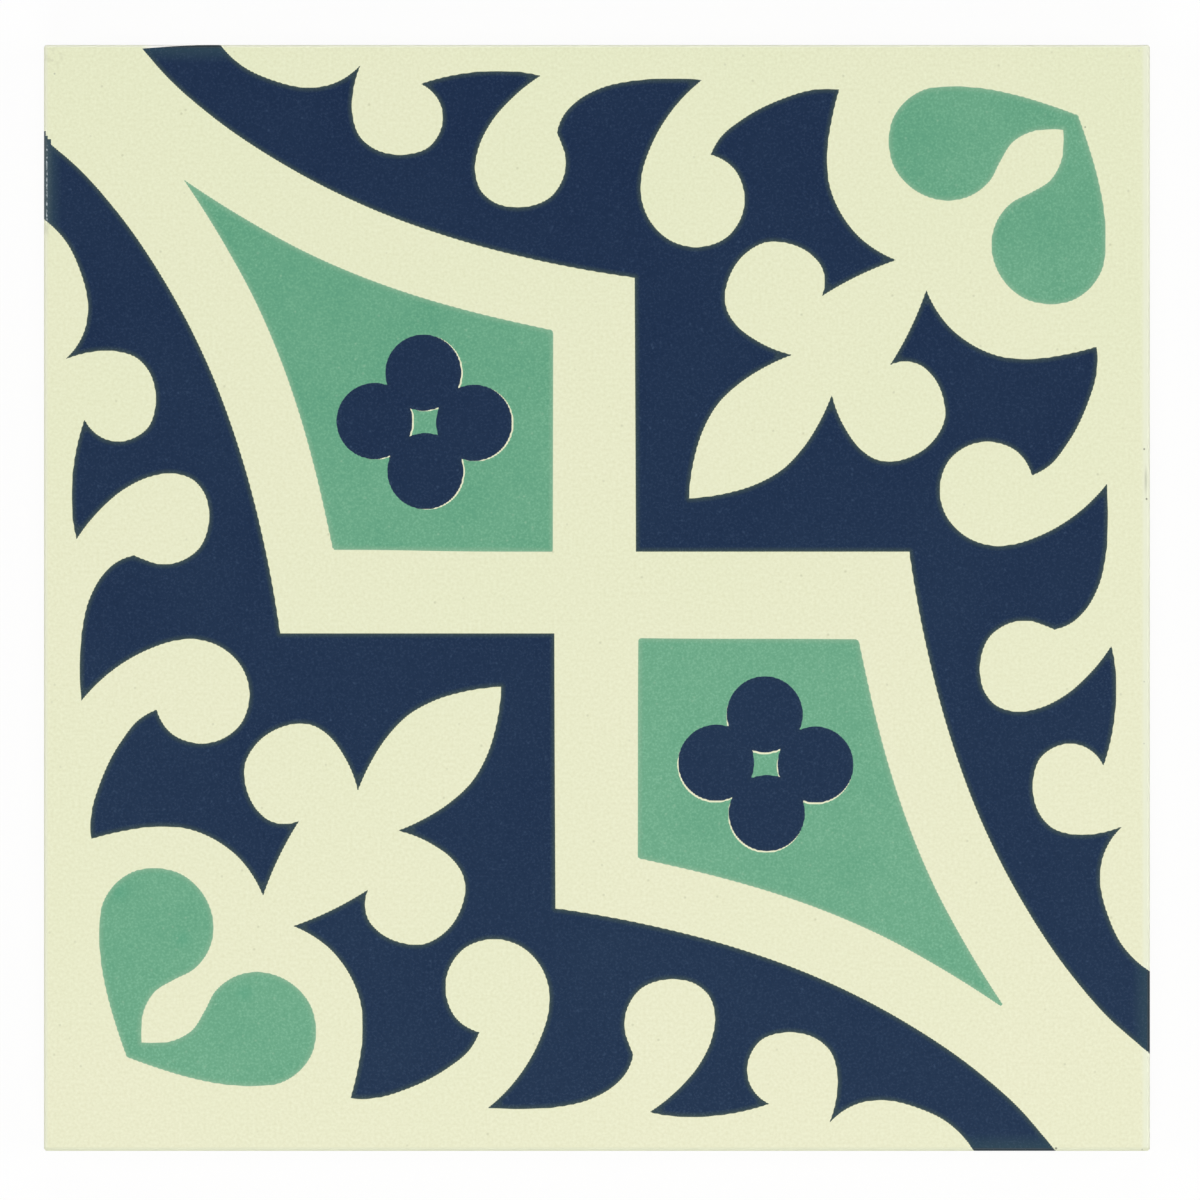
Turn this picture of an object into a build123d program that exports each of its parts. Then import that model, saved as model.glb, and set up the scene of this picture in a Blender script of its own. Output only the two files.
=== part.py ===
from build123d import *
import os

# Square wall tile: one biscuit of clay, dust-pressed in a steel die, glazed on its face and fired.
# The origin is the middle of the bed plane, on the back. +Z points out of the glazed face,
# +X and +Y run along the sides.

# Driving dimensions, in millimetres and degrees
TILE_SIDE = 145.0  # face, edge to edge
THICKNESS = 8.0  # bed plane to glazed face
SIDE_DRAFT = 1.5  # the sides lean in towards the back, so that the tile leaves the die
ARRIS_RADIUS = 0.4  # the glaze rounds the edge of the face and the four upright edges
BACK_RADIUS = 0.2  # the lower punch leaves the edge of the back a little blunt

# Keyed back: a field of shallow square pockets between ribs, which the adhesive grips
POCKET_SIDE = 18.0  # across the mouth of a pocket
POCKET_DEPTH = 0.8
POCKET_DRAFT = 25.0  # lean of the pocket's walls
POCKET_CORNER_RADIUS = 2.0  # at the mouth
RIB_WIDTH = 4.0  # between the mouths of two pockets

# The field takes as many pockets as fit inside a plain rim that is at least as wide as a rib
pocket_pitch = POCKET_SIDE + RIB_WIDTH
pocket_count = int((TILE_SIDE - RIB_WIDTH) // pocket_pitch)

# The face is drawn at its full size, and the body narrows from there down to the back
face_plane = Plane(origin=(0, 0, THICKNESS), x_dir=(1, 0, 0), z_dir=(0, 0, -1))

with BuildPart() as tile:
    # Pressed body
    with BuildSketch(face_plane):
        Rectangle(TILE_SIDE, TILE_SIDE)
    extrude(amount=THICKNESS, taper=SIDE_DRAFT)

    # Rounded arris of the glazed face and the upright edges, then the blunt edge of the back
    back_edges = tile.edges().group_by(Axis.Z)[0]
    fillet(tile.edges() - back_edges, ARRIS_RADIUS)
    fillet(tile.edges().group_by(Axis.Z)[0], BACK_RADIUS)

    # Key pockets
    with BuildSketch(Plane.XY):
        with GridLocations(pocket_pitch, pocket_pitch, pocket_count, pocket_count):
            RectangleRounded(POCKET_SIDE, POCKET_SIDE, POCKET_CORNER_RADIUS)
    extrude(amount=POCKET_DEPTH, taper=POCKET_DRAFT, mode=Mode.SUBTRACT)

tile.part.label = "tile"

os.makedirs("parts", exist_ok=True)
export_step(tile.part, "parts/tile.step")
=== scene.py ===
from collections import Counter
from math import atan2, ceil, cos, pi, radians, sin, sqrt

import bpy
from mathutils import Matrix, Vector
from mathutils.geometry import delaunay_2d_cdt, interpolate_bezier
from mathutils.kdtree import KDTree


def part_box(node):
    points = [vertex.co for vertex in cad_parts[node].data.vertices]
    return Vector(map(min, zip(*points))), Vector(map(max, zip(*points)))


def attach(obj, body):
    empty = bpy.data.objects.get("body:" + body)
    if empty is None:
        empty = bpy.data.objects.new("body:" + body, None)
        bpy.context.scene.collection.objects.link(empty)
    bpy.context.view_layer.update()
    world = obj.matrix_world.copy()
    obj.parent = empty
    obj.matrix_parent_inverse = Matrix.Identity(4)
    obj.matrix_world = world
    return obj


# The looks of a square glazed wall tile: cream glaze over a buff biscuit, with an ornament printed on the
# face in sea green and then in dark blue enamel. The tile lies on its back, its glazed face up, and the
# camera looks straight down on it. The ornament is drawn in millimetres, from the middle of its own screen.

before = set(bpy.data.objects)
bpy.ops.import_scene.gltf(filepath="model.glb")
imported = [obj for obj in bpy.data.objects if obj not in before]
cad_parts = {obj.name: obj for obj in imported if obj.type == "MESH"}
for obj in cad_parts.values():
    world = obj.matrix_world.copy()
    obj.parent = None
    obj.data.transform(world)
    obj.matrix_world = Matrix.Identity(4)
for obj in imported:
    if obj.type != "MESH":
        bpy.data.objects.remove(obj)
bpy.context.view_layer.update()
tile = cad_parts["tile"]

MM = 0.001
top_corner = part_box("tile")[1] / MM
HALF_SIDE = top_corner.x
FACE = top_corner.z
ARRIS = 0.4  # radius of the rounded edge of the face
ARRIS_STEPS = 6  # bends of a print that runs over the arris
SIDES = ((1, 0), (0, 1), (-1, 0), (0, -1))  # outward from the face: right, top, left, bottom

# Prints, in millimetres and degrees
THREAD_PITCH = 0.233  # of the screen's mesh, which cuts every outline into a fine stair
THREAD_BITE = 0.9  # depth of the stair, where 1 has level treads
DRAWN_STEP = 0.075  # spacing of the points along a drawn outline
INK_SPREAD = 0.03  # the ink runs this far past the stencil
EDGE_PROUD = 0.001  # a fired print is this thick at its very edge
BLUE_PROUD, GREEN_PROUD = 0.024, 0.008  # and its middle stands this far above the glaze
FILM_DEPTH = 0.03  # from the top of a print down to its underside, which is sunk in the glaze
RIM_STEPS = ((0.2, 0.6, 0.5), (0.7, 1.0, 0.0))  # in from the edge: distance, share of the height, thinness
RIM_FAN = (-60, -30, 0, 30, 60)  # directions of the rim's points, so that the hollow corners get theirs
THIN_ON_GLAZE, THIN_ON_GREEN = 1.0, 0.1  # how far a rim lets through what is under it
TOP_MAP, HIDDEN_MAP = 0.48, 0.01  # half widths of the map of a print, for its top and for the rest
ARRIS_REACH = 87  # the blue print ends this far round the arris
TOP_LIMIT = (Vector((-59.35, 72.0)), Vector((-51.9, 72.55)))  # and at the top it stops short, a little askew
TIP_LIMIT = Vector((53.05, -53.35))  # the tip of the lower kite came out blunt

# Stair of ink where the left end of the blue band ran on
LEFT_TAB = [(-73.0, 61.17), (-72.26, 61.17), (-72.26, 60.52), (-71.93, 60.52), (-71.93, 60.13),
            (-71.54, 60.13), (-71.54, 59.3), (-73.0, 60.5)]

# Where the middle of the blue screen came to lie, and how its mesh stretched and gave under the squeegee,
# both measured at the edges of the face
BLUE_CENTRE, BLUE_TURN = Vector((-0.24, 0.71)), 0.075
BLUE_STRETCH, BLUE_SLACK = Vector((-0.067, 0.073)), Vector((-0.169, -0.218))

# Half of a blue band, from its inner corner to the tip of the leaf, both on the band's mirror line y = x.
# Each run is smooth from one corner of the outline to the next.
BAND_HALF = [
    [(5.35, 5.35), (5.3, 41.3)],  # straight inner side
    [(5.3, 41.3), (-6.75, 43.45), (-18.3, 46.45), (-29.55, 50.55), (-40.2, 55.95), (-50.15, 62.65),
     (-56.1, 67.95), (-58.7, 70.95), (-60.0, 72.5), (-61.2, 74.1), (-62.3, 75.7)],  # ogee, off the edge
    [(-62.3, 75.7), (-50.9, 75.7)],
    [(-50.9, 75.7), (-48.95, 71.9), (-46.1, 69.15), (-42.5, 67.4), (-37.4, 66.3), (-34.75, 66.65),
     (-32.9, 67.45), (-30.73, 69.18)],  # first lobe
    [(-30.73, 69.18), (-31.7, 65.45), (-31.8, 63.5), (-30.65, 59.7), (-29.15, 58.4), (-25.4, 57.45),
     (-21.6, 58.55), (-19.85, 62.0), (-20.1, 63.95), (-21.1, 65.6), (-22.69, 66.79)],  # first curl
    [(-22.69, 66.79), (-18.5, 67.9), (-12.6, 68.45), (-8.6, 68.15), (-7.15, 67.83)],  # second lobe
    [(-7.15, 67.83), (-10.9, 64.85), (-13.5, 61.85), (-15.25, 58.3), (-15.7, 55.4), (-14.8, 52.55),
     (-13.3, 51.25), (-10.0, 50.5), (-5.75, 51.9), (-3.85, 55.25), (-3.8, 57.25), (-4.4, 59.15),
     (-4.9, 60.35)],  # second curl
    [(-4.9, 60.35), (-3.9, 62.8), (-2.55, 64.25), (0.9, 66.2), (4.8, 67.1), (9.8, 67.4),
     (14.05, 67.25)],  # third lobe
    [(14.05, 67.25), (10.4, 63.6), (7.35, 58.5), (6.15, 54.7), (6.0, 52.75), (7.1, 48.95), (9.9, 46.15),
     (13.2, 45.25), (17.4, 46.6), (19.5, 49.9), (19.7, 51.9), (18.35, 55.55), (15.3, 57.45)],  # third curl
    [(15.3, 57.45), (16.45, 59.55), (19.5, 62.1), (24.85, 64.8), (28.65, 65.9), (30.6, 66.05),
     (32.1, 65.95)],  # last lobe
    [(32.1, 65.95), (31.2, 62.4), (30.5, 57.0), (30.8, 53.45), (32.25, 49.8), (34.7, 46.6), (37.9, 44.3),
     (39.52, 43.55)],  # hollow of the corner
    [(39.52, 43.55), (35.4, 41.9), (29.84, 38.86)],  # wing over the lily
    [(29.84, 38.86), (30.25, 40.9), (29.75, 42.8), (28.45, 44.3), (24.85, 45.9), (22.85, 46.0), (19.4, 44.1),
     (17.4, 40.7), (17.05, 38.75), (17.4, 36.8), (18.45, 35.15), (21.6, 32.75), (25.79, 31.11)],  # lily lobe
    [(25.79, 31.11), (22.25, 29.5), (18.9, 27.35), (16.05, 24.6), (14.1, 21.1), (12.95, 17.3),
     (12.3, 12.3)],  # leaf
]

# Flower: four round lobes that meet each other and leave a small square open between them
BLUE_FLOWER = Vector((-22.39, 22.39))  # its middle on the blue screen, and its half turn the other's
GREEN_FLOWERS = (Vector((-22.43, 23.0)), Vector((22.05, -21.95)))  # where the green leaves room for them
LOBE_ACROSS, LOBE_UP = 6.52, 6.46  # from its middle to the middles of the lobes
BLUE_LOBE, GREEN_LOBE = 5.0, 4.98  # radius of a printed lobe, and of the room that the green leaves for it
LOBE_SKEW = 0.125  # each lobe leans this far towards the tip or the heel of the kite

# Half of a green kite, from its tip to its heel, both on its mirror line y = -x
KITE_HALF = [
    [(-54.05, 54.05), (-45.25, 48.5), (-38.45, 44.8), (-31.3, 41.65), (-23.8, 39.0), (-16.2, 36.85),
     (-8.45, 35.05), (-6.1, 34.54)],
    [(-6.1, 34.54), (-5.82, 34.4), (-5.7, 34.05)],  # corner, a little rounded
    [(-5.7, 34.05), (-5.67, 6.02)],
    [(-5.67, 6.02), (-5.7, 5.88), (-5.77, 5.77)],  # heel, rounded too
]
# Turn of each kite, and the place of the drawing's middle
KITE_PLACES = ((-0.115, (-0.118, 0.556)), (179.682, (-0.168, 0.415)))
KITE_HEEL, KITE_SIDE = Vector((-5.7, 5.7)), 28.7  # its heel, and the length of the sides from there
HEEL_DROPS = (0.2, 0.0)  # the mesh let the heel of the upper kite sink

# Half of a green heart, from its point to the tip of the leaf in it, about the middle of the heart
HEART_HALF = [
    [(10.35, 10.35), (6.4, 11.75), (2.1, 13.0), (-2.35, 13.85), (-6.1, 14.05), (-9.8, 13.6), (-12.3, 12.0),
     (-13.95, 9.5), (-14.35, 6.9), (-13.7, 3.65), (-11.9, 1.25), (-9.4, -0.3), (-6.45, -0.85),
     (-3.55, -0.15), (-1.2, 1.7), (0.2, 4.3), (1.8, 6.8), (4.4, 8.25), (6.9, 8.55), (8.5, 8.5)],
]
HEART_PLACES = ((-0.25, (52.6, 52.91)), (179.615, (-51.16, -49.85)))


# Drawing

def deselect():
    bpy.ops.object.select_all(action="DESELECT")


def smooth_knots(run):
    """Bezier knots (left handle, point, right handle) of a smooth curve through a run of points."""
    points = [Vector(p) for p in run]
    chords = [(b - a).length for a, b in zip(points, points[1:])]
    slopes = [(b - a) / h for a, b, h in zip(points, points[1:], chords)]
    inner = [(h1 * s0 + h0 * s1) / (h0 + h1)
             for h0, h1, s0, s1 in zip(chords, chords[1:], slopes, slopes[1:])]
    first = 2 * slopes[0] - inner[0] if inner else slopes[0]
    last = 2 * slopes[-1] - inner[-1] if inner else slopes[-1]
    tangents = [first] + inner + [last]
    before = chords[:1] + chords
    after = chords + chords[-1:]
    return [(p - t * a / 3, p, p + t * b / 3) for p, t, a, b in zip(points, tangents, before, after)]


def drawn_line(runs):
    """Points a step apart along a closed outline, whose runs each start where the last one ended."""
    line = []
    for run in runs:
        knots = smooth_knots(run)
        for (_, start, out), (back, end, _) in zip(knots, knots[1:]):
            steps = ceil((end - start).length / DRAWN_STEP)
            line += interpolate_bezier(start, out, back, end, steps + 1)[:-1]
    return line


def mirrored(half, mirror):
    """Runs of a whole outline, from one half of it and its mirror image drawn backwards."""
    other = [[mirror(*p) for p in reversed(run)] for run in reversed(half)]
    return half + other


def turned(line, angle, shift):
    """Points turned about the origin and then shifted."""
    turn = Matrix.Rotation(radians(angle), 2)
    return [turn @ p + Vector(shift) for p in line]


def arc(centre, radius, start, end):
    """Points along an arc round a centre, anticlockwise from one point to another."""
    a = atan2(start.y - centre.y, start.x - centre.x)
    sweep = (atan2(end.y - centre.y, end.x - centre.x) - a) % (2 * pi)
    steps = ceil(sweep / radians(20))
    angles = [a + sweep * i / steps for i in range(steps + 1)]
    return [centre + radius * Vector((cos(b), sin(b))) for b in angles]


def flower_lines(radius):
    """Lines round the lobes of a flower and round the square between them, about its middle."""
    lobes = [Vector((LOBE_ACROSS, -LOBE_SKEW)), Vector((-LOBE_SKEW, LOBE_UP)),
             Vector((-LOBE_ACROSS, LOBE_SKEW)), Vector((LOBE_SKEW, -LOBE_UP))]
    notches = []
    for one, other in zip(lobes, lobes[1:] + lobes[:1]):
        halfway = (one + other) / 2
        reach = sqrt(radius ** 2 - ((other - one) / 2).length_squared)
        notches.append((halfway + halfway.normalized() * reach, halfway - halfway.normalized() * reach))
    round_lobes = []
    round_square = []
    for lobe, before, after in zip(lobes, notches[-1:] + notches, notches):
        round_lobes.append(arc(lobe, radius, before[0], after[0]))
        round_square.append(arc(lobe, radius, after[1], before[1])[::-1])
    return drawn_line(round_lobes), drawn_line(round_square)


def threaded(line):
    """Points drawn to the threads of the screen, which cut a line into a fine stair."""
    wave = 2 * pi / THREAD_PITCH
    return [Vector([c - THREAD_BITE * sin(wave * c) / wave for c in p]) for p in line]


def sunk(line, drop):
    """Points of a kite whose heel sank, and its sides with it."""
    shares = [max(0, 1 - (p - KITE_HEEL).length / KITE_SIDE) for p in line]
    return [p - Vector((0, drop * share)) for p, share in zip(line, shares)]


def pulled(line):
    """Where a line of the blue screen lands on the face."""
    landed = []
    for p in turned(line, BLUE_TURN, BLUE_CENTRE):
        share = p / HALF_SIDE
        landed.append(p + share * BLUE_STRETCH + share * share * BLUE_SLACK)
    return landed


# Films of enamel

def wound(line, way):
    """A closed line that goes round anticlockwise, way 1, or clockwise, way -1."""
    area = sum(a.cross(b) for a, b in zip(line, line[1:] + line[:1]))
    return line if area * way > 0 else line[::-1]


def set_in(line, depth, angle=0):
    """Points set in from a line to its left, at an angle from square."""
    turn = Matrix.Rotation(radians(angle), 2)
    moved = []
    for before, at, after in zip(line[-1:] + line, line, line[1:] + line[:1]):
        inward = Vector((before.y - after.y, after.x - before.x)).normalized()
        moved.append(at + depth * (turn @ inward))
    return moved


def spread(line):
    """Where the ink of a drawn line ran to, a little past the stencil."""
    return set_in(wound(line, 1), -INK_SPREAD)


def filled(points, inked, bare):
    """Corners, the points that they are, and triangles within more inked loops than bare ones."""
    corners, _, triangles, sources, _, within = delaunay_2d_cdt(points, [], inked + bare, 0, 1e-7, True)
    kept = []
    for triangle, loops in zip(triangles, within):
        if sum(1 if loop < len(inked) else -1 for loop in loops) > 0:
            kept.append(triangle)
    return corners, sources, kept


def print_film(name, inked, bare, proud):
    """A sheet of enamel over the face, inside the inked lines and outside the bare ones, in millimetres.

    It thins out along its rim, by as much as comes with each line. An inset would fold over itself at the
    sharp tips, so the sheet is filled through points set in from its lines, where they are clear of all."""
    lines = [wound(line, 1) for line, _ in inked] + [wound(line, -1) for line, _ in bare]
    rims = [thin for _, thin in inked + bare]
    points = []
    heights = []
    thinness = []
    loops = []
    for line, thin in zip(lines, rims):
        loops.append(list(range(len(points), len(points) + len(line))))
        points += threaded(line)
        heights += [EDGE_PROUD] * len(line)
        thinness += [thin] * len(line)
    line_points = len(points)
    near_edge = KDTree(line_points)
    for i, p in enumerate(p for line in lines for p in line):
        near_edge.insert((*p, 0), i)
    near_edge.balance()
    for depth, share, step_thin in RIM_STEPS:
        for line, thin in zip(lines, rims):
            for angle in RIM_FAN:
                every = round(depth / DRAWN_STEP) if angle == 0 else 1
                for inside in set_in(line, depth, angle)[::every]:
                    if near_edge.find((*inside, 0))[2] > 0.95 * depth:
                        points.append(inside)
                        heights.append(share * proud)
                        thinness.append(step_thin * thin)

    # A corner where two lines cross is no point of either, and is as high as the first point, an edge.
    # A line that runs on inside the ink of another one is no edge there.
    inked_loops = loops[:len(inked)]
    bare_loops = [loop[::-1] for loop in loops[len(inked):]]
    corners, sources, faces = filled(points, inked_loops, bare_loops)
    uses = Counter(frozenset(side) for face in faces for side in zip(face, face[1:] + face[:1]))
    edge = {corner for side, count in uses.items() if count == 1 for corner in side}
    firsts = [min(source, default=0) for source in sources]
    vertices = []
    thin_shares = []
    for i, (corner, first) in enumerate(zip(corners, firsts)):
        overrun = first < line_points and i not in edge
        vertices.append((*corner, FACE + (proud if overrun else heights[first])))
        thin_shares.append(0 if overrun else thinness[first])

    mesh = bpy.data.meshes.new(name)
    mesh.from_pydata(vertices, [], faces)
    mesh.attributes.new("thinness", "FLOAT", "POINT").data.foreach_set("value", thin_shares)
    film = bpy.data.objects.new(name, mesh)
    bpy.context.collection.objects.link(film)
    deselect()
    film.select_set(True)
    bpy.context.view_layer.objects.active = film
    return film


def trim(point, outward):
    """Cuts off what lies beyond a line on the face."""
    bpy.ops.object.mode_set(mode="EDIT")
    bpy.ops.mesh.select_all(action="SELECT")
    bpy.ops.mesh.bisect(plane_co=(*point, FACE), plane_no=(*outward, 0), clear_outer=True)
    bpy.ops.object.mode_set(mode="OBJECT")


def bend_over_arris(film):
    """Bends what reaches past the flat of the face down round the arris, thinner and thinner."""
    flat = HALF_SIDE - ARRIS
    bpy.ops.object.mode_set(mode="EDIT")
    for outward in SIDES:
        for step in range(ARRIS_STEPS):
            bpy.ops.mesh.select_all(action="SELECT")
            reach = flat + step * ARRIS * pi / 2 / ARRIS_STEPS
            bpy.ops.mesh.bisect(plane_co=(*Vector(outward) * reach, FACE), plane_no=(*outward, 0))
    bpy.ops.object.mode_set(mode="OBJECT")
    for vertex in film.data.vertices:
        for axis in (0, 1):
            past = abs(vertex.co[axis]) - flat
            if past > 0:
                angle = past / ARRIS
                radius = ARRIS + (vertex.co.z - FACE) * cos(angle)
                side = 1 if vertex.co[axis] > 0 else -1
                vertex.co[axis] = side * (flat + radius * sin(angle))
                vertex.co.z = FACE - ARRIS + radius * cos(angle)


def finish_film(film):
    """Gives a sheet its depth, brings it to metres and lays its map flat, hidden faces small."""
    top_faces = len(film.data.polygons)
    bpy.ops.object.modifier_add(type="SOLIDIFY")
    film.modifiers[0].thickness = FILM_DEPTH
    film.modifiers[0].offset = -1
    bpy.ops.object.modifier_apply(modifier=film.modifiers[0].name)
    film.scale = (MM, MM, MM)
    bpy.ops.object.transform_apply(location=True, rotation=True, scale=True)
    bpy.ops.object.shade_smooth_by_angle(angle=radians(30))
    film.data.uv_layers.new(name="OFBake")
    for polygon in film.data.polygons:
        share = TOP_MAP if polygon.index < top_faces else HIDDEN_MAP
        for loop in polygon.loop_indices:
            at = film.data.vertices[film.data.loops[loop].vertex_index].co / (HALF_SIDE * MM)
            film.data.uv_layers["OFBake"].data[loop].uv = (0.5 + share * at.x, 0.5 + share * at.y)
    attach(film, "root")


def blue_print():
    """Two bands and two flowers, the second of each a half turn of the first."""
    band = spread(drawn_line(mirrored(BAND_HALF, lambda x, y: (y, x))))
    lobes, square = (turned(line, 0, BLUE_FLOWER) for line in flower_lines(BLUE_LOBE))
    tab = drawn_line(zip(LEFT_TAB, LEFT_TAB[1:] + LEFT_TAB[:1]))
    inked = [(tab, THIN_ON_GLAZE)]
    bare = []
    for angle in (0, 180):
        inked.append((pulled(turned(band, angle, (0, 0))), THIN_ON_GLAZE))
        inked.append((pulled(turned(lobes, angle, (0, 0))), THIN_ON_GREEN))
        bare.append((pulled(turned(square, angle, (0, 0))), THIN_ON_GREEN))
    film = print_film("dark_blue_print", inked, bare, BLUE_PROUD)
    edge_reach = HALF_SIDE - ARRIS + ARRIS * radians(ARRIS_REACH)
    for outward in SIDES:
        trim(Vector(outward) * edge_reach, outward)
    trim(TOP_LIMIT[0], (TOP_LIMIT[1] - TOP_LIMIT[0]).orthogonal().normalized())
    bend_over_arris(film)
    finish_film(film)
    return film


def green_print():
    """Two kites that leave room for the flowers and the square in each, and two hearts."""
    kite = spread(drawn_line(mirrored(KITE_HALF, lambda x, y: (-y, -x))))
    heart = spread(drawn_line(mirrored(HEART_HALF, lambda x, y: (y, x))))
    lobes, square = flower_lines(GREEN_LOBE)
    inked = [(turned(sunk(kite, drop), *place), THIN_ON_GLAZE)
             for place, drop in zip(KITE_PLACES, HEEL_DROPS)]
    inked += [(turned(heart, *place), THIN_ON_GLAZE) for place in HEART_PLACES]
    inked += [(turned(square, 0, middle), THIN_ON_GREEN) for middle in GREEN_FLOWERS]
    bare = [(turned(lobes, 0, middle), THIN_ON_GREEN) for middle in GREEN_FLOWERS]
    film = print_film("sea_green_print", inked, bare, GREEN_PROUD)
    trim(TIP_LIMIT, Vector((1, -1)).normalized())
    finish_film(film)
    return film


blue_film = blue_print()
green_film = green_print()


# Materials

def linear(hex_code):
    """Linear colour of an sRGB hex value."""
    parts = [int(hex_code[i:i + 2], 16) / 255 for i in (1, 3, 5)]
    return [c / 12.92 if c <= 0.04045 else ((c + 0.055) / 1.055) ** 2.4 for c in parts] + [1]


def add_node(tree, kind, links=None, output=0, **settings):
    """Adds a node with its settings, sets or links its inputs, and gives back one of its outputs."""
    node = tree.nodes.new(kind)
    for name, value in settings.items():
        setattr(node, name, value)
    for socket, value in (links or {}).items():
        if isinstance(value, bpy.types.NodeSocket):
            tree.links.new(value, node.inputs[socket])
        else:
            node.inputs[socket].default_value = value
    return node.outputs[output] if len(node.outputs) else None


def new_material(name):
    """An empty node material."""
    material = bpy.data.materials.new(name)
    material.use_nodes = True
    material.node_tree.nodes.clear()
    return material, material.node_tree


def wear(piece, material):
    piece.data.materials.clear()
    piece.data.materials.append(material)


def dark_blue_enamel():
    """Cobalt enamel, screen printed and fired on: a thin satin film, dark where it lies thick.

    It looks grainy, with pale dust specks, has painted haze of lamp light towards the foot and is olive at
    its rim."""
    material, tree = new_material("screen_printed_cobalt_enamel")
    coords = add_node(tree, "ShaderNodeTexCoord", output="Object")
    x = add_node(tree, "ShaderNodeSeparateXYZ", {0: coords}, output="X")
    y = add_node(tree, "ShaderNodeSeparateXYZ", {0: coords}, output="Y")

    # Grain of the ground colour, and painted haze of lamp light that pales it towards the foot
    grain = add_node(tree, "ShaderNodeTexNoise", {"Vector": coords, "Scale": 1 / (0.3 * MM), "Detail": 2.0})
    grain = add_node(tree, "ShaderNodeMapRange", {"Value": grain, "From Min": 0.25, "From Max": 0.75})
    # Dark tone, and the paler tone that paints the haze of lamp light towards the foot
    thick = add_node(tree, "ShaderNodeMixRGB", {"Fac": grain, "Color1": linear("#0d2443"),
                                                "Color2": linear("#1b3151")})
    thin = add_node(tree, "ShaderNodeMixRGB", {"Fac": grain, "Color1": linear("#172d49"),
                                               "Color2": linear("#253b57")})
    blotch = add_node(tree, "ShaderNodeTexNoise", {"Vector": coords, "Scale": 1 / (14 * MM), "Detail": 1.0})
    down = add_node(tree, "ShaderNodeMapRange", {
        "Value": y, "From Min": HALF_SIDE * MM, "From Max": -HALF_SIDE * MM, "To Min": -0.25, "To Max": 0.75})
    down = add_node(tree, "ShaderNodeMath", {0: down, 1: blotch}, operation="ADD")
    down = add_node(tree, "ShaderNodeMapRange", {"Value": down, "From Min": 0.1, "From Max": 1.4})
    tone = add_node(tree, "ShaderNodeMixRGB", {"Fac": down, "Color1": thick, "Color2": thin})

    # Pale dust specks
    speck = add_node(tree, "ShaderNodeTexVoronoi", {"Vector": coords, "Scale": 1 / (1.5 * MM)})
    speck = add_node(tree, "ShaderNodeMapRange", {"Value": speck, "From Min": 0.15, "From Max": 0.05,
                                                  "To Max": 0.18})
    tone = add_node(tree, "ShaderNodeMixRGB", {"Fac": speck, "Color1": tone, "Color2": linear("#5d7698")})

    # The film is thin along its rim, and the glaze shows through
    rim = add_node(tree, "ShaderNodeAttribute", output="Fac", attribute_name="thinness")
    rim = add_node(tree, "ShaderNodeMath", {0: rim, 1: 0.9}, operation="MULTIPLY")
    tone = add_node(tree, "ShaderNodeMixRGB", {"Fac": rim, "Color1": tone, "Color2": linear("#46574e")})

    # It is thinner towards the sides of the face too, rough on the arris, and darker there as painted shade
    x_size = add_node(tree, "ShaderNodeMath", {0: x}, operation="ABSOLUTE")
    y_size = add_node(tree, "ShaderNodeMath", {0: y}, operation="ABSOLUTE")
    out = add_node(tree, "ShaderNodeMath", {0: x_size, 1: y_size}, operation="MAXIMUM")
    side = add_node(tree, "ShaderNodeMapRange", {"Value": out, "From Min": (HALF_SIDE - 2.4) * MM,
                                                 "From Max": (HALF_SIDE - 0.6) * MM, "To Max": 0.7})
    tone = add_node(tree, "ShaderNodeMixRGB", {"Fac": side, "Color1": tone, "Color2": linear("#2e4855")})
    arris = add_node(tree, "ShaderNodeMapRange", {"Value": out, "From Min": (HALF_SIDE - 0.5) * MM,
                                                  "From Max": (HALF_SIDE - 0.25) * MM, "To Max": 0.8})
    # Painted shade on the arris, where the face turns down over its edge
    tone = add_node(tree, "ShaderNodeMixRGB", {"Fac": arris, "Color1": tone, "Color2": linear("#182830")})

    # Paler and greyer on the left, with a broken line of bright specks, painted glints on the worn arris
    left_fade = add_node(tree, "ShaderNodeMapRange", {"Value": x, "From Min": (1.3 - HALF_SIDE) * MM,
                                                   "From Max": (0.2 - HALF_SIDE) * MM, "To Max": 0.7})
    tone = add_node(tree, "ShaderNodeMixRGB", {"Fac": left_fade, "Color1": tone, "Color2": linear("#4a5b60")})
    away = add_node(tree, "ShaderNodeMath", {0: x, 1: (0.4 - HALF_SIDE) * MM}, operation="SUBTRACT")
    away = add_node(tree, "ShaderNodeMath", {0: away}, operation="ABSOLUTE")
    line = add_node(tree, "ShaderNodeMapRange",
                    {"Value": away, "From Min": 0.13 * MM, "From Max": 0.05 * MM})
    broken = add_node(tree, "ShaderNodeTexNoise",
                      {"Vector": coords, "Scale": 1 / (0.45 * MM), "Detail": 1.0})
    broken = add_node(tree, "ShaderNodeMapRange", {"Value": broken, "From Min": 0.45, "From Max": 0.72})
    below = add_node(tree, "ShaderNodeMapRange", {"Value": y, "From Min": 59.7 * MM, "From Max": 59.2 * MM})
    worn_glints = add_node(tree, "ShaderNodeMath", {0: line, 1: broken}, operation="MULTIPLY")
    worn_glints = add_node(tree, "ShaderNodeMath", {0: worn_glints, 1: below}, operation="MULTIPLY")
    tone = add_node(tree, "ShaderNodeMixRGB", {"Fac": worn_glints, "Color1": tone, "Color2": linear("#c6d0d4")})

    gloss = add_node(tree, "ShaderNodeMapRange", {"Value": grain, "To Min": 0.22, "To Max": 0.3})
    gloss = add_node(tree, "ShaderNodeMath", {0: arris, 1: gloss}, operation="MAXIMUM")
    relief = add_node(tree, "ShaderNodeBump", {"Height": grain, "Strength": 0.3, "Distance": 0.004 * MM})
    shader = add_node(tree, "ShaderNodeBsdfPrincipled", {"Base Color": tone, "Roughness": gloss,
                                                         "Normal": relief, "IOR": 1.5})
    add_node(tree, "ShaderNodeOutputMaterial", {"Surface": shader})
    return material


# Pools in the lower heart where the green lies thick, in millimetres
GREEN_POOLS = ((-54.3, -44.7), (-46.2, -51.8), (-62.6, -38.6))
POOL_RADIUS = 1.8


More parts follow.
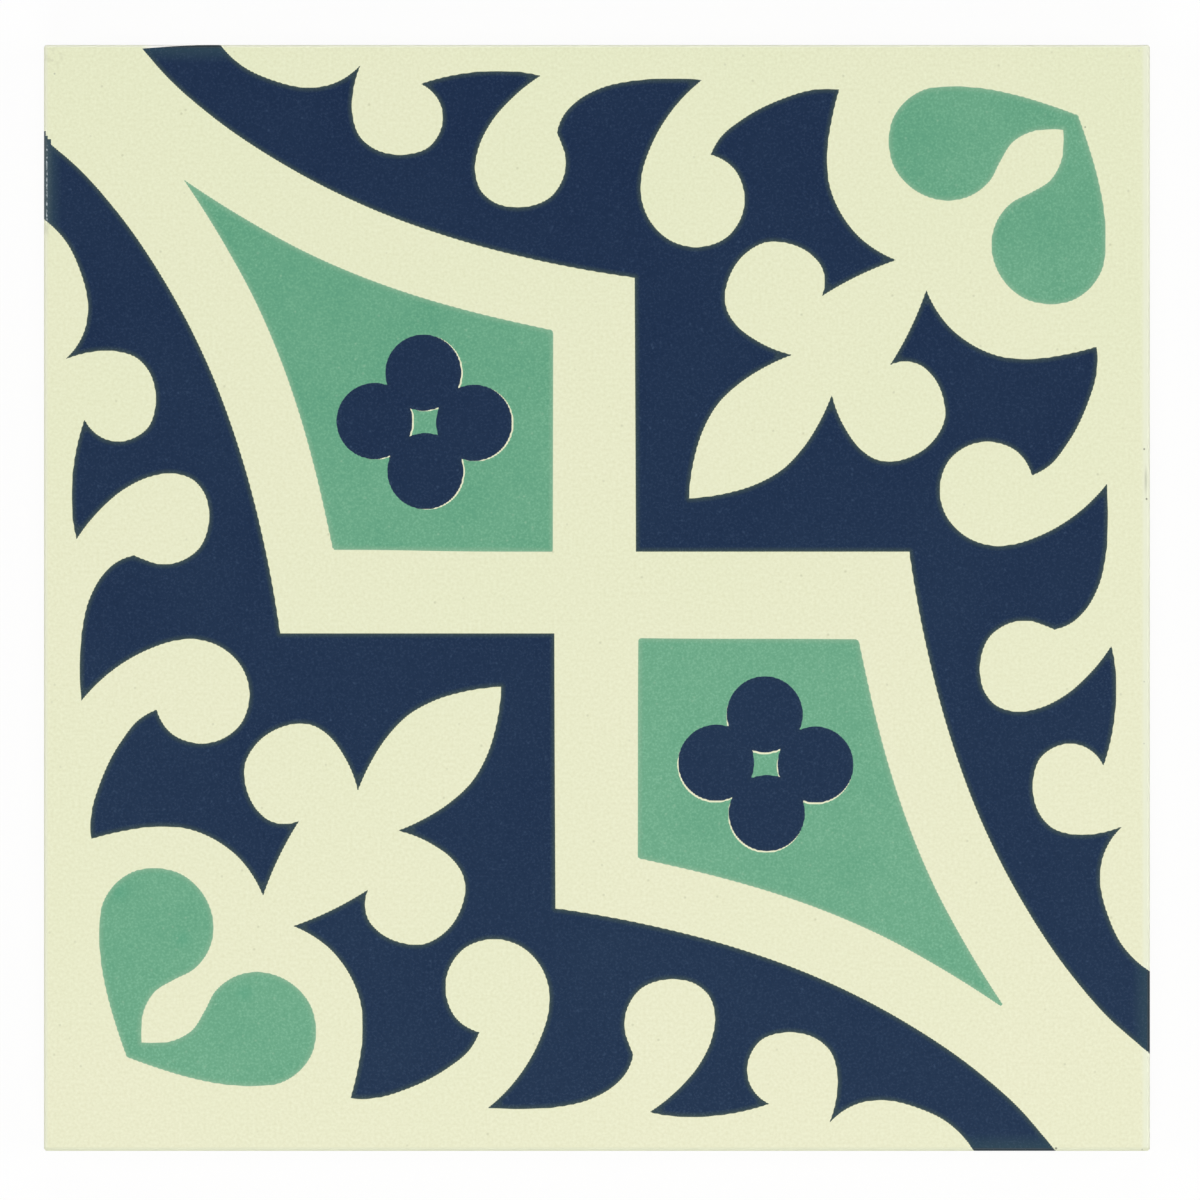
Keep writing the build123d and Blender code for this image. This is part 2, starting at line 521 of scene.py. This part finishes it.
def sea_green_enamel():
    """Copper green enamel, screen printed and fired on: a satin film that lets the pale glaze show through.

    It is mottled with a grain of darker and paler points and grows paler at its rim."""
    material, tree = new_material("screen_printed_copper_green_enamel")
    coords = add_node(tree, "ShaderNodeTexCoord", output="Object")

    grain = add_node(tree, "ShaderNodeTexNoise", {"Vector": coords, "Scale": 1 / (0.3 * MM), "Detail": 2.0})
    grain = add_node(tree, "ShaderNodeMapRange", {"Value": grain, "From Min": 0.25, "From Max": 0.75})
    blotch = add_node(tree, "ShaderNodeTexNoise", {"Vector": coords, "Scale": 1 / (9 * MM), "Detail": 2.0})
    blotch = add_node(tree, "ShaderNodeMapRange", {"Value": blotch, "From Min": 0.3, "From Max": 0.7,
                                                   "To Max": 0.5})
    thick = add_node(tree, "ShaderNodeMixRGB", {"Fac": grain, "Color1": linear("#54997b"),
                                                "Color2": linear("#6bab87")})
    thin = add_node(tree, "ShaderNodeMixRGB", {"Fac": grain, "Color1": linear("#62a280"),
                                               "Color2": linear("#7bb594")})

    # Darker at the upper left, paler towards the foot
    across = add_node(tree, "ShaderNodeMapping", {"Vector": coords, "Rotation": (0, 0, radians(-60))},
                      vector_type="TEXTURE")
    across = add_node(tree, "ShaderNodeSeparateXYZ", {0: across}, output="X")
    across = add_node(tree, "ShaderNodeMapRange", {
        "Value": across, "From Min": -45 * MM, "From Max": 20 * MM, "To Min": 0.12, "To Max": 0.65})
    across = add_node(tree, "ShaderNodeMath", {0: across, 1: blotch}, operation="ADD")
    tone = add_node(tree, "ShaderNodeMixRGB", {"Fac": across, "Color1": thick, "Color2": thin})
    for pool in GREEN_POOLS:
        far = add_node(tree, "ShaderNodeVectorMath", {0: coords, 1: (*Vector(pool) * MM, FACE * MM)},
                       output="Value", operation="DISTANCE")
        pooled = add_node(tree, "ShaderNodeMapRange", {"Value": far, "From Min": POOL_RADIUS * MM,
                                                       "From Max": 0, "To Max": 0.45},
                          interpolation_type="SMOOTHSTEP")
        tone = add_node(tree, "ShaderNodeMixRGB",
                        {"Fac": pooled, "Color1": tone, "Color2": linear("#55a180")})

    speck = add_node(tree, "ShaderNodeTexVoronoi", {"Vector": coords, "Scale": 1 / (1.4 * MM)})
    speck = add_node(tree, "ShaderNodeMapRange", {"Value": speck, "From Min": 0.15, "From Max": 0.05,
                                                  "To Max": 0.25})
    tone = add_node(tree, "ShaderNodeMixRGB", {"Fac": speck, "Color1": tone, "Color2": linear("#b4d6b8")})
    rim = add_node(tree, "ShaderNodeAttribute", output="Fac", attribute_name="thinness")
    tone = add_node(tree, "ShaderNodeMixRGB", {"Fac": rim, "Color1": tone, "Color2": linear("#8ab595")})

    gloss = add_node(tree, "ShaderNodeMapRange", {"Value": grain, "To Min": 0.22, "To Max": 0.3})
    relief = add_node(tree, "ShaderNodeBump", {"Height": grain, "Strength": 0.3, "Distance": 0.004 * MM})
    shader = add_node(tree, "ShaderNodeBsdfPrincipled", {"Base Color": tone, "Roughness": gloss,
                                                         "Normal": relief, "IOR": 1.5})
    add_node(tree, "ShaderNodeOutputMaterial", {"Surface": shader})
    return material


# Marks on the cream glaze: place on the face in millimetres, half size along x and y, and how dark
GLAZE_MARKS = (
    ((71.71, 19.5), (0.2, 0.2), 0.9), ((72.02, 12.97), (0.2, 0.22), 0.9), ((71.93, 15.4), (0.3, 2.6), 0.3),
    ((60.16, -72.14), (0.24, 0.24), 1.0), ((71.45, -72.3), (0.2, 0.2), 0.4),
    ((-71.07, 68.68), (0.2, 0.2), 0.45), ((63.98, 61.69), (0.18, 0.18), 0.7),
    ((-72.1, 48.4), (0.6, 1.5), 0.15), ((71.71, -10.97), (0.18, 0.18), 0.3),
    ((67.47, -15.11), (0.18, 0.18), 0.3), ((71.69, -19.08), (0.18, 0.18), 0.3),
    ((71.04, 71.71), (0.25, 0.25), 0.15), ((69.0, 67.96), (0.2, 0.2), 0.12),
    ((66.85, 71.0), (0.2, 0.2), 0.12),
)

# Painted light and shade of the glaze along the arris: side, how far it reaches in, colour
ARRIS_LIGHT_AND_SHADE = (
    ((1, 0), 1.25, "#ebeed5"), ((-1, 0), 0.65, "#e6e8cd"),
    ((0, -1), 0.6, "#dde0c2"), ((0, 1), 0.4, "#f2f4dd"),
)
GRIMY_CORNER = Vector((-71.3, 70.9))
GLAZE_DROP = 2.0  # how far the glaze runs down the sides


def glazed_biscuit():
    """Cream satin glaze, poured over the face of a dust-pressed biscuit and fired.

    The glaze is smooth and even, with a faint grain and a few pinholes, and it ends in a ragged line on the
    sides. Below it the bare biscuit is matt, sandy and buff, with a pale wash where it stood in the kiln."""
    material, tree = new_material("cream_glaze_on_pressed_biscuit")
    coords = add_node(tree, "ShaderNodeTexCoord", output="Object")
    on_face = add_node(tree, "ShaderNodeVectorMath", {0: coords, 1: (1, 1, 0)}, operation="MULTIPLY")
    axes = {axis: add_node(tree, "ShaderNodeSeparateXYZ", {0: coords}, output=axis) for axis in "XYZ"}

    # Glaze with a fine grain, slow drifts of tone, painted light towards the foot and pinholes
    grain = add_node(tree, "ShaderNodeTexNoise", {"Vector": coords, "Scale": 1 / (0.4 * MM), "Detail": 2.0})
    grain = add_node(tree, "ShaderNodeMapRange", {"Value": grain, "From Min": 0.25, "From Max": 0.75})
    green = add_node(tree, "ShaderNodeMixRGB", {"Fac": grain, "Color1": linear("#e1e4bf"),
                                                "Color2": linear("#ecf0cf")})
    warm = add_node(tree, "ShaderNodeMixRGB", {"Fac": grain, "Color1": linear("#e4e4c2"),
                                               "Color2": linear("#eff0d2")})
    drift_and_painted_light = add_node(tree, "ShaderNodeTexNoise", {"Vector": coords, "Scale": 1 / (25 * MM), "Detail": 1.0})
    # Painted light: warmer and lighter towards the foot
    down = add_node(tree, "ShaderNodeMapRange", {"Value": axes["Y"], "From Min": HALF_SIDE * MM,
                                                 "From Max": -HALF_SIDE * MM, "To Min": -0.4, "To Max": 0.4})
    drift_and_painted_light = add_node(tree, "ShaderNodeMath", {0: drift_and_painted_light, 1: down}, operation="ADD", use_clamp=True)
    glaze = add_node(tree, "ShaderNodeMixRGB", {"Fac": drift_and_painted_light, "Color1": green, "Color2": warm})
    pinhole = add_node(tree, "ShaderNodeTexVoronoi", {"Vector": coords, "Scale": 1 / (3.2 * MM)})
    pinhole = add_node(tree, "ShaderNodeMapRange", {"Value": pinhole, "From Min": 0.075, "From Max": 0.02,
                                                    "To Max": 0.35})
    glaze = add_node(tree, "ShaderNodeMixRGB",
                     {"Fac": pinhole, "Color1": glaze, "Color2": linear("#a9aa86")})

    # Painted light and shade on the arris, then marks and a grubby corner
    for outward, reach, colour in ARRIS_LIGHT_AND_SHADE:
        axis, side = ("X", outward[0]) if outward[0] else ("Y", outward[1])
        near = add_node(tree, "ShaderNodeMapRange", {
            "Value": axes[axis], "From Min": side * (HALF_SIDE - reach) * MM,
            "From Max": side * (HALF_SIDE - 0.5 * reach) * MM}, interpolation_type="SMOOTHSTEP")
        glaze = add_node(tree, "ShaderNodeMixRGB", {"Fac": near, "Color1": glaze, "Color2": linear(colour)})
    for place, half, dark in GLAZE_MARKS:
        near = add_node(tree, "ShaderNodeMapping", {
            "Vector": on_face, "Location": (*Vector(place) * MM, 0), "Scale": (*Vector(half) * MM, 1)},
            vector_type="TEXTURE")
        far = add_node(tree, "ShaderNodeVectorMath", {0: near}, output="Value", operation="LENGTH")
        mark = add_node(tree, "ShaderNodeMapRange",
                        {"Value": far, "From Min": 1, "From Max": 0, "To Max": dark},
                        interpolation_type="SMOOTHSTEP")
        glaze = add_node(tree, "ShaderNodeMixRGB",
                         {"Fac": mark, "Color1": glaze, "Color2": linear("#3c3c30")})
    far = add_node(tree, "ShaderNodeVectorMath", {0: on_face, 1: (*GRIMY_CORNER * MM, 0)}, output="Value",
                   operation="DISTANCE")
    corner = add_node(tree, "ShaderNodeMapRange", {"Value": far, "From Min": 1.9 * MM, "From Max": 0.7 * MM})
    grime = add_node(tree, "ShaderNodeTexNoise", {"Vector": coords, "Scale": 1 / (0.7 * MM), "Detail": 1.0})
    grime = add_node(tree, "ShaderNodeMapRange", {"Value": grime, "From Min": 0.5, "From Max": 0.68,
                                                  "To Max": 0.2})
    corner = add_node(tree, "ShaderNodeMath", {0: corner, 1: grime}, operation="MULTIPLY")
    glaze = add_node(tree, "ShaderNodeMixRGB", {"Fac": corner, "Color1": glaze, "Color2": linear("#a9a985")})

    # White chip along the top arris, where the blue print stops short
    limit_run = TOP_LIMIT[1] - TOP_LIMIT[0]
    chip = add_node(tree, "ShaderNodeMapping", {
        "Vector": coords, "Location": (*TOP_LIMIT[0] * MM, 0),
        "Rotation": (0, 0, atan2(limit_run.y, limit_run.x))}, vector_type="TEXTURE")
    along = add_node(tree, "ShaderNodeSeparateXYZ", {0: chip}, output="X")
    above = add_node(tree, "ShaderNodeSeparateXYZ", {0: chip}, output="Y")
    above = add_node(tree, "ShaderNodeMapRange", {"Value": above, "From Min": -0.06 * MM, "From Max": 0})
    starts = add_node(tree, "ShaderNodeMapRange",
                      {"Value": along, "From Min": -0.4 * MM, "From Max": 1.2 * MM})
    ends = add_node(tree, "ShaderNodeMapRange", {"Value": along, "From Min": 11 * MM, "From Max": 9.5 * MM})
    chip = add_node(tree, "ShaderNodeMath", {0: above, 1: starts}, operation="MULTIPLY")
    chip = add_node(tree, "ShaderNodeMath", {0: chip, 1: ends}, operation="MULTIPLY")
    glaze = add_node(tree, "ShaderNodeMixRGB", {"Fac": chip, "Color1": glaze, "Color2": linear("#fbfaf4")})

    # Bare biscuit, with sandy grain, and a wash on what stood on the kiln shelf
    sand = add_node(tree, "ShaderNodeTexNoise", {"Vector": coords, "Scale": 1 / (0.5 * MM), "Detail": 3.0})
    sand = add_node(tree, "ShaderNodeMapRange", {"Value": sand, "From Min": 0.25, "From Max": 0.75})
    biscuit = add_node(tree, "ShaderNodeMixRGB", {"Fac": sand, "Color1": linear("#d6c8aa"),
                                                  "Color2": linear("#e8dcc3")})
    grog = add_node(tree, "ShaderNodeTexVoronoi", {"Vector": coords, "Scale": 1 / (1.8 * MM)})
    grog = add_node(tree, "ShaderNodeMapRange", {"Value": grog, "From Min": 0.2, "From Max": 0.08,
                                                 "To Max": 0.5})
    biscuit = add_node(tree, "ShaderNodeMixRGB",
                       {"Fac": grog, "Color1": biscuit, "Color2": linear("#a88f6c")})
    patch = add_node(tree, "ShaderNodeTexNoise", {"Vector": coords, "Scale": 1 / (9 * MM), "Detail": 5.0})
    patch = add_node(tree, "ShaderNodeMapRange", {"Value": patch, "From Min": 0.45, "From Max": 0.6,
                                                  "To Max": 0.7})
    stood = add_node(tree, "ShaderNodeMapRange",
                     {"Value": axes["Z"], "From Min": 0.25 * MM, "From Max": 0.1 * MM})
    wash = add_node(tree, "ShaderNodeMath", {0: patch, 1: stood}, operation="MULTIPLY")
    biscuit = add_node(tree, "ShaderNodeMixRGB",
                       {"Fac": wash, "Color1": biscuit, "Color2": linear("#efebe2")})

    # The glaze ends raggedly on the sides
    ragged = add_node(tree, "ShaderNodeTexNoise", {"Vector": coords, "Scale": 1 / (5 * MM), "Detail": 3.0})
    ragged = add_node(tree, "ShaderNodeMapRange", {"Value": ragged, "From Min": 0.25, "From Max": 0.75,
                                                   "To Min": -1.2 * MM, "To Max": 1.2 * MM})
    line = add_node(tree, "ShaderNodeMath", {0: axes["Z"], 1: ragged}, operation="ADD")
    glazed = add_node(tree, "ShaderNodeMapRange", {"Value": line, "From Min": (FACE - GLAZE_DROP - 0.1) * MM,
                                                   "From Max": (FACE - GLAZE_DROP + 0.1) * MM})
    tone = add_node(tree, "ShaderNodeMixRGB", {"Fac": glazed, "Color1": biscuit, "Color2": glaze})

    # Satin glaze over faint orange peel, dull on the arris, and matt and gritty biscuit
    x_size = add_node(tree, "ShaderNodeMath", {0: axes["X"]}, operation="ABSOLUTE")
    y_size = add_node(tree, "ShaderNodeMath", {0: axes["Y"]}, operation="ABSOLUTE")
    out = add_node(tree, "ShaderNodeMath", {0: x_size, 1: y_size}, operation="MAXIMUM")
    dull = add_node(tree, "ShaderNodeMapRange", {"Value": out, "From Min": (HALF_SIDE - 0.5) * MM,
                                                 "From Max": (HALF_SIDE - 0.25) * MM, "To Max": 0.7})
    gloss = add_node(tree, "ShaderNodeMapRange", {"Value": glazed, "To Min": 0.85, "To Max": 0.26})
    gloss = add_node(tree, "ShaderNodeMath", {0: gloss, 1: dull}, operation="MAXIMUM")
    peel = add_node(tree, "ShaderNodeTexNoise", {"Vector": coords, "Scale": 1 / (1.6 * MM), "Detail": 1.0})
    relief = add_node(tree, "ShaderNodeBump", {"Height": peel, "Strength": 0.4, "Distance": 0.01 * MM})
    bare = add_node(tree, "ShaderNodeMath", {0: 1.0, 1: glazed}, operation="SUBTRACT")
    grit = add_node(tree, "ShaderNodeMath", {0: sand, 1: bare}, operation="MULTIPLY")
    relief = add_node(tree, "ShaderNodeBump", {"Height": grit, "Strength": 0.7, "Distance": 0.06 * MM,
                                               "Normal": relief})
    shader = add_node(tree, "ShaderNodeBsdfPrincipled", {"Base Color": tone, "Roughness": gloss,
                                                         "Normal": relief, "IOR": 1.5})
    add_node(tree, "ShaderNodeOutputMaterial", {"Surface": shader})
    return material


FLOOR_WHITE = 0.93  # share of plain white that the camera sees, the rest is light and shadow


def white_floor():
    """White sheet that the camera sees as white, yet with the tile's soft shadow on it."""
    material, tree = new_material("matt_white_floor")
    lit = add_node(tree, "ShaderNodeBsdfDiffuse", {"Color": linear("#f2f2f0")})
    white = add_node(tree, "ShaderNodeEmission", {"Strength": 1.0})
    path = {ray: add_node(tree, "ShaderNodeLightPath", output=ray)
            for ray in ("Is Camera Ray", "Is Glossy Ray", "Is Transmission Ray")}
    seen = add_node(tree, "ShaderNodeMath", {0: path["Is Camera Ray"], 1: path["Is Glossy Ray"]},
                    operation="MAXIMUM")
    seen = add_node(tree, "ShaderNodeMath", {0: seen, 1: path["Is Transmission Ray"]}, operation="MAXIMUM")
    share = add_node(tree, "ShaderNodeMath", {0: seen, 1: FLOOR_WHITE}, operation="MULTIPLY")
    shader = add_node(tree, "ShaderNodeMixShader", {0: share, 1: lit, 2: white})
    add_node(tree, "ShaderNodeOutputMaterial", {"Surface": shader})
    return material


wear(tile, glazed_biscuit())
wear(blue_film, dark_blue_enamel())
wear(green_film, sea_green_enamel())


# Floor, light and camera

FLOOR_SIZE, FLOOR_GAP = 3, 0.02 * MM  # the floor is clear of the face that rests on it
SKY_LIGHT = 0.12
LAMP_AWAY, LAMP_HEIGHT, LAMP_SIZE = 0.7, 0.7, 0.5
LAMPS = (("right", 3.45), ("top", 2.6), ("left", 3.05), ("bottom", 4.1))  # one at each side, in watts
FRAME_WIDTH = 157.25 * MM  # what the picture shows across the plane of the face
AIM = (0.40 * MM, -0.275 * MM)  # point of the face in the middle of the picture
CAMERA_HEIGHT = 0.9  # above the face

deselect()
bpy.ops.mesh.primitive_plane_add(size=FLOOR_SIZE, location=(0, 0, -FLOOR_GAP))
floor = bpy.context.object
floor.name = "floor"
wear(floor, white_floor())

world = bpy.data.worlds.new("studio")
bpy.context.scene.world = world
world.use_nodes = True
world.node_tree.nodes["Background"].inputs["Color"].default_value = (1, 1, 1, 1)
world.node_tree.nodes["Background"].inputs["Strength"].default_value = SKY_LIGHT

# Four soft lamps round the copy stand, stronger towards the foot of the tile
for (name, watts), outward in zip(LAMPS, SIDES):
    deselect()
    bpy.ops.object.light_add(type="AREA", location=(*Vector(outward) * LAMP_AWAY, LAMP_HEIGHT))
    lamp = bpy.context.object
    lamp.name = "softbox_" + name
    lamp.data.shape = "DISK"
    lamp.data.size = LAMP_SIZE
    lamp.data.energy = watts
    lamp.rotation_euler = (-lamp.location).to_track_quat("-Z", "Y").to_euler()

deselect()
bpy.ops.object.camera_add(location=(*AIM, FACE * MM + CAMERA_HEIGHT), rotation=(0, 0, 0))
camera = bpy.context.object
camera.data.sensor_width = 36
camera.data.lens = camera.data.sensor_width * CAMERA_HEIGHT / FRAME_WIDTH
bpy.context.scene.camera = camera
bpy.context.scene.view_settings.view_transform = "Standard"
